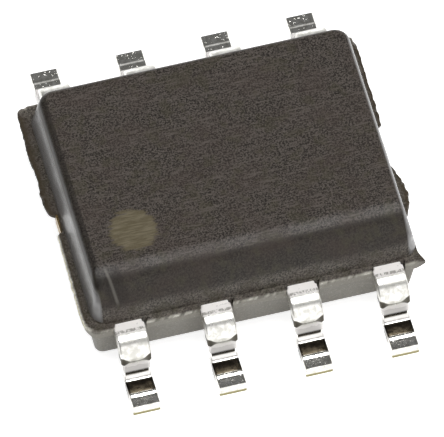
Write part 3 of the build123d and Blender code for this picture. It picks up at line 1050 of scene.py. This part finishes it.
leadSpec = {
    "sheet": chipSpec["sheet"],
    "pitch": chipSpec["pitch"],
    "perSide": chipSpec["perSide"],
    "top": chipSpec["parting"],
    "tip": chipSpec["tip"],
    "width": 0.40,
    "edgeRadius": 0.024,
    "edgeSteps": 5,
    "faceCuts": (0.04, 0.3, 0.7, 0.96),
    "sideCuts": (0.08, 0.92),
    "fingerEnd": 1.32,
    "legFace": 2.465,
    "legFaceHeight": 0.33,
    "legLean": 8.5,
    "toeRise": 4.0,
    "shoulderBend": 0.22,
    "heelBend": 0.21,
    "bendSteps": 20,
    "stepStart": 2.775,
    "stepEnd": 2.855,
    "stepHeight": 0.0205,
    "collarWidth": chipSpec["collarWidth"],
    "collarStart": 2.00,
    "collarBottom": 0.465,
    "collarSoftness": 0.008,
    "fingerWidth": 0.50,
    "taperStart": 1.42,
    "taperEnd": 1.74,
    "outerShift": 0.46,
    "innerShift": 0.06,
    "footAbove": (0.10, 0.16),
    "footBelow": (0.22, 0.38),
    "footFrom": (2.42, 2.50),
    "unevenness": 0.0022,
    "unevenSize": 0.16,
    "rowStep": 0.014,
    "seed": 3,
    "sharpFrom": 50,
}


def makeLeadPath(spec):  # the middle line of one lead, from its finger to its tip
    half = spec["sheet"] / 2
    lean = math.radians(spec["legLean"])

    def legY(z):
        return -(spec["legFace"] + (spec["legFaceHeight"] - z) * math.tan(lean)) + half / math.cos(lean)

    high, low = spec["top"] - half, half
    points = [(-spec["fingerEnd"], high), (legY(high), high), (legY(low), low), (-spec["tip"], low)]
    mesh = bpy.data.meshes.new("leadPath")
    mesh.from_pydata([(0, y * mm, z * mm) for y, z in points], [(0, 1), (1, 2), (2, 3)], [])
    bend = mesh.attributes.new("bend", "FLOAT", "POINT")
    bend.data.foreach_set("value", [0.0, spec["shoulderBend"] * mm, spec["heelBend"] * mm, 0.0])
    path = bpy.data.objects.new("leadPath", mesh)
    scene.collection.objects.link(path)
    return path


def makeLeadSection(spec):  # the outline of the strip, with soft edges
    halfWide, halfThick, radius = spec["width"] / 2, spec["sheet"] / 2, spec["edgeRadius"]
    corners = [(1, 1), (-1, 1), (-1, -1), (1, -1)]

    def onCorner(corner, degrees):
        angle = math.radians(degrees)
        return (corner[0] * (halfWide - radius) + radius * math.cos(angle),
                corner[1] * (halfThick - radius) + radius * math.sin(angle))

    points = []
    steps = spec["edgeSteps"]
    for number, corner in enumerate(corners):
        start, nextCorner = 90 * number, corners[(number + 1) % 4]
        points += [onCorner(corner, start + 90 * step / steps) for step in range(steps + 1)]
        here, there = np.array(points[-1]), np.array(onCorner(nextCorner, start + 90))
        cuts = spec["faceCuts"] if corner[0] != nextCorner[0] else spec["sideCuts"]
        points += [tuple(here + (there - here) * cut) for cut in cuts]
    edges = [(number, (number + 1) % len(points)) for number in range(len(points))]
    mesh = bpy.data.meshes.new("leadSection")
    mesh.from_pydata([(x * mm, y * mm, 0) for x, y in points], edges, [])
    section = bpy.data.objects.new("leadSection", mesh)
    scene.collection.objects.link(section)
    return section


def makeLeadTree(spec, values):  # each of the values becomes a named input
    tree = bpy.data.node_groups.new("leadRows", "GeometryNodeTree")
    tree.interface.new_socket("Geometry", in_out="INPUT", socket_type="NodeSocketGeometry")
    tree.interface.new_socket("Geometry", in_out="OUTPUT", socket_type="NodeSocketGeometry")
    sorts = (
        (float, "NodeSocketFloat"), (int, "NodeSocketInt"),
        (bpy.types.Object, "NodeSocketObject"), (bpy.types.Material, "NodeSocketMaterial"),
    )
    for name, value in values.items():
        socketType = next(socket for sort, socket in sorts if isinstance(value, sort))
        tree.interface.new_socket(name, in_out="INPUT", socket_type=socketType)
    given = addNode(tree, "NodeGroupInput").outputs
    link = tree.links.new

    def geo(kind, source=None, **settings):
        node = addNode(tree, kind, **settings)
        if source is not None:
            link(source, node.inputs[0])
        return node

    def position():
        return splitPlace(tree, addNode(tree, "GeometryNodeInputPosition").outputs[0])

    def namedValue(name):
        node = addNode(tree, "GeometryNodeInputNamedAttribute", data_type="FLOAT")
        node.inputs["Name"].default_value = name
        return node.outputs[0]

    def moveTo(source, socketName, vector):
        node = geo("GeometryNodeSetPosition", source)
        link(vector, node.inputs[socketName])
        return node.outputs[0]

    def onFinger(outward):  # one on the finger, and none from the end of its taper
        return ramp(tree, outward, given["taperStart"], given["taperEnd"], 1.0, 0.0, "LINEAR")

    # The strip is swept along the path
    line = geo("GeometryNodeMeshToCurve", given["Geometry"])
    bent = geo("GeometryNodeFilletCurve", line.outputs[0], mode="POLY")
    bent.inputs["Count"].default_value = spec["bendSteps"]
    link(namedValue("bend"), bent.inputs["Radius"])
    even = geo("GeometryNodeResampleCurve", bent.outputs[0], mode="LENGTH")
    link(given["rowStep"], even.inputs["Length"])
    outline = addNode(tree, "GeometryNodeObjectInfo")
    link(given["section"], outline.inputs["Object"])
    section = geo("GeometryNodeMeshToCurve", outline.outputs["Geometry"])
    swept = geo("GeometryNodeCurveToMesh", even.outputs[0])
    link(section.outputs[0], swept.inputs["Profile Curve"])
    swept.inputs["Fill Caps"].default_value = True

    # The collar and the finger are wider than the strip, and the foot's upper side is pressed
    x, y, z = position()
    outward = calc(tree, "ABSOLUTE", y)
    soft = spec["collarSoftness"] * mm
    inCollar = times(tree, ramp(tree, minus(tree, outward, given["collarStart"]), -soft, soft),
                     ramp(tree, minus(tree, z, given["collarBottom"]), -soft, soft))
    extras = [minus(tree, calc(tree, "DIVIDE", given[wide], given["width"]), 1.0)
              for wide in ("collarWidth", "fingerWidth")]
    wider = plus(tree, times(tree, inCollar, extras[0]), times(tree, onFinger(outward), extras[1]))
    hollow = times(tree, minus(tree, given["tip"], outward), given["toeSlope"])
    pressed = ramp(tree, outward, given["stepStart"], given["stepEnd"], given["stepHeight"], 0.0)
    onFoot = times(tree, rampAt(tree, z, *spec["footAbove"]), rampAt(tree, z, *spec["footBelow"], 1.0, 0.0),
                   rampAt(tree, outward, *spec["footFrom"]))
    sunk = times(tree, minus(tree, hollow, pressed), onFoot, -1.0)
    shaped = moveTo(swept.outputs[0], "Offset", joinPlace(tree, times(tree, x, wider), 0.0, sunk))

    # One row of leads, whose fingers lean towards the middle
    places = geo("GeometryNodeMeshLine")
    lastPlace = calc(tree, "DIVIDE", minus(tree, given["perSide"], 1.0), -2.0)
    link(given["perSide"], places.inputs["Count"])
    link(joinPlace(tree, times(tree, lastPlace, given["pitch"])), places.inputs["Start Location"])
    link(joinPlace(tree, given["pitch"]), places.inputs["Offset"])
    noted = geo("GeometryNodeStoreNamedAttribute", places.outputs[0], data_type="FLOAT", domain="POINT")
    noted.inputs["Name"].default_value = "place"
    link(position()[0], noted.inputs["Value"])
    setOut = geo("GeometryNodeInstanceOnPoints", noted.outputs[0])
    link(shaped, setOut.inputs["Instance"])
    row = geo("GeometryNodeRealizeInstances", setOut.outputs[0])
    place = namedValue("place")
    isOuter = calc(tree, "GREATER_THAN", calc(tree, "ABSOLUTE", place), given["pitch"])
    difference = minus(tree, given["outerShift"], given["innerShift"])
    amount = plus(tree, given["innerShift"], times(tree, isOuter, difference))
    inward = times(tree, calc(tree, "SIGN", place), -1.0)
    aside = times(tree, amount, inward, onFinger(calc(tree, "ABSOLUTE", position()[1])))
    leaning = moveTo(row.outputs[0], "Offset", joinPlace(tree, aside))

    # The second row is the first one turned round, and both are a little uneven
    turned = geo("GeometryNodeTransform", leaning)
    turned.inputs["Rotation"].default_value = (0, 0, math.pi)
    both = geo("GeometryNodeJoinGeometry", turned.outputs[0])
    link(leaning, both.inputs[0])
    rumple = addNode(tree, "ShaderNodeTexNoise", noise_dimensions="4D")
    rumple.inputs["Scale"].default_value = 1 / (spec["unevenSize"] * mm)
    link(addNode(tree, "GeometryNodeInputPosition").outputs[0], rumple.inputs["Vector"])
    link(given["seed"], rumple.inputs["W"])
    amount = times(tree, minus(tree, rumple.outputs[0], 0.5), given["unevenness"])
    push = addNode(tree, "ShaderNodeVectorMath", operation="SCALE")
    link(addNode(tree, "GeometryNodeInputNormal").outputs[0], push.inputs[0])
    link(amount, push.inputs["Scale"])
    uneven = moveTo(both.outputs[0], "Offset", push.outputs[0])
    x, y, z = position()
    grounded = moveTo(uneven, "Position", joinPlace(tree, x, y, calc(tree, "MAXIMUM", z, 0.0)))
    smooth = geo("GeometryNodeSetShadeSmooth", grounded)
    real = geo("GeometryNodeRealizeInstances", smooth.outputs[0])
    coated = geo("GeometryNodeSetMaterial", real.outputs[0])
    link(given["plating"], coated.inputs["Material"])
    link(coated.outputs[0], addNode(tree, "NodeGroupOutput").inputs[0])
    return tree


def growFromTree(base, tree, values, name):  # runs a tree on an object and keeps the result as a plain mesh
    modifier = base.modifiers.new(name, "NODES")
    modifier.node_group = tree
    for item in tree.interface.items_tree:
        if item.in_out == "INPUT" and item.name in values:
            modifier[item.identifier] = values[item.name]
    bpy.context.view_layer.update()
    graph = bpy.context.evaluated_depsgraph_get()
    mesh = bpy.data.meshes.new_from_object(base.evaluated_get(graph))
    base.modifiers.remove(modifier)
    mesh.name = name
    grown = bpy.data.objects.new(name, mesh)
    scene.collection.objects.link(grown)
    return grown


def makeLeads(spec, tin):
    path, section = makeLeadPath(spec), makeLeadSection(spec)
    sizes = (
        "pitch", "tip", "width", "collarWidth", "collarStart", "collarBottom", "fingerWidth", "taperStart",
        "taperEnd", "outerShift", "innerShift", "rowStep", "unevenness", "stepStart", "stepEnd", "stepHeight",
    )
    values = {name: spec[name] * mm for name in sizes}
    values["toeSlope"] = math.tan(math.radians(spec["toeRise"]))
    values["perSide"] = spec["perSide"]
    values["seed"] = float(spec["seed"])
    values["section"] = section
    values["plating"] = tin
    leads = growFromTree(path, makeLeadTree(spec, values), values, "leads")
    for helper in (path, section):
        bpy.data.objects.remove(helper)
    leads.data.set_sharp_from_angle(angle=math.radians(spec["sharpFrom"]))
    return leads


tinPlating = makeTinMaterial(tinSpec)
leads = makeLeads(leadSpec, tinPlating)
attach(leads, "root")
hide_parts(*["lead_%d" % number for number in range(1, 9)])
print("leads bent with", len(leads.data.polygons), "faces")

# The pieces that stay as they were built: the heat pad, and what is sealed inside the mould
hidden = {name: makeInnerMaterial(name, spec) for name, spec in innerSpec.items()}
coats = {
    "die_paddle": makePadMaterial(padSpec, tinSpec),
    "die_attach": hidden["silverGlue"],
    "silicon_die": hidden["silicon"],
    **{"bond_wire_%d" % number: hidden["goldWire"] for number in range(1, 9)},
}
for name, material in coats.items():
    carried = bpy.data.objects[name]
    carried.data.materials.clear()
    carried.data.materials.append(material)
print("materials given to", len(coats), "carried pieces")
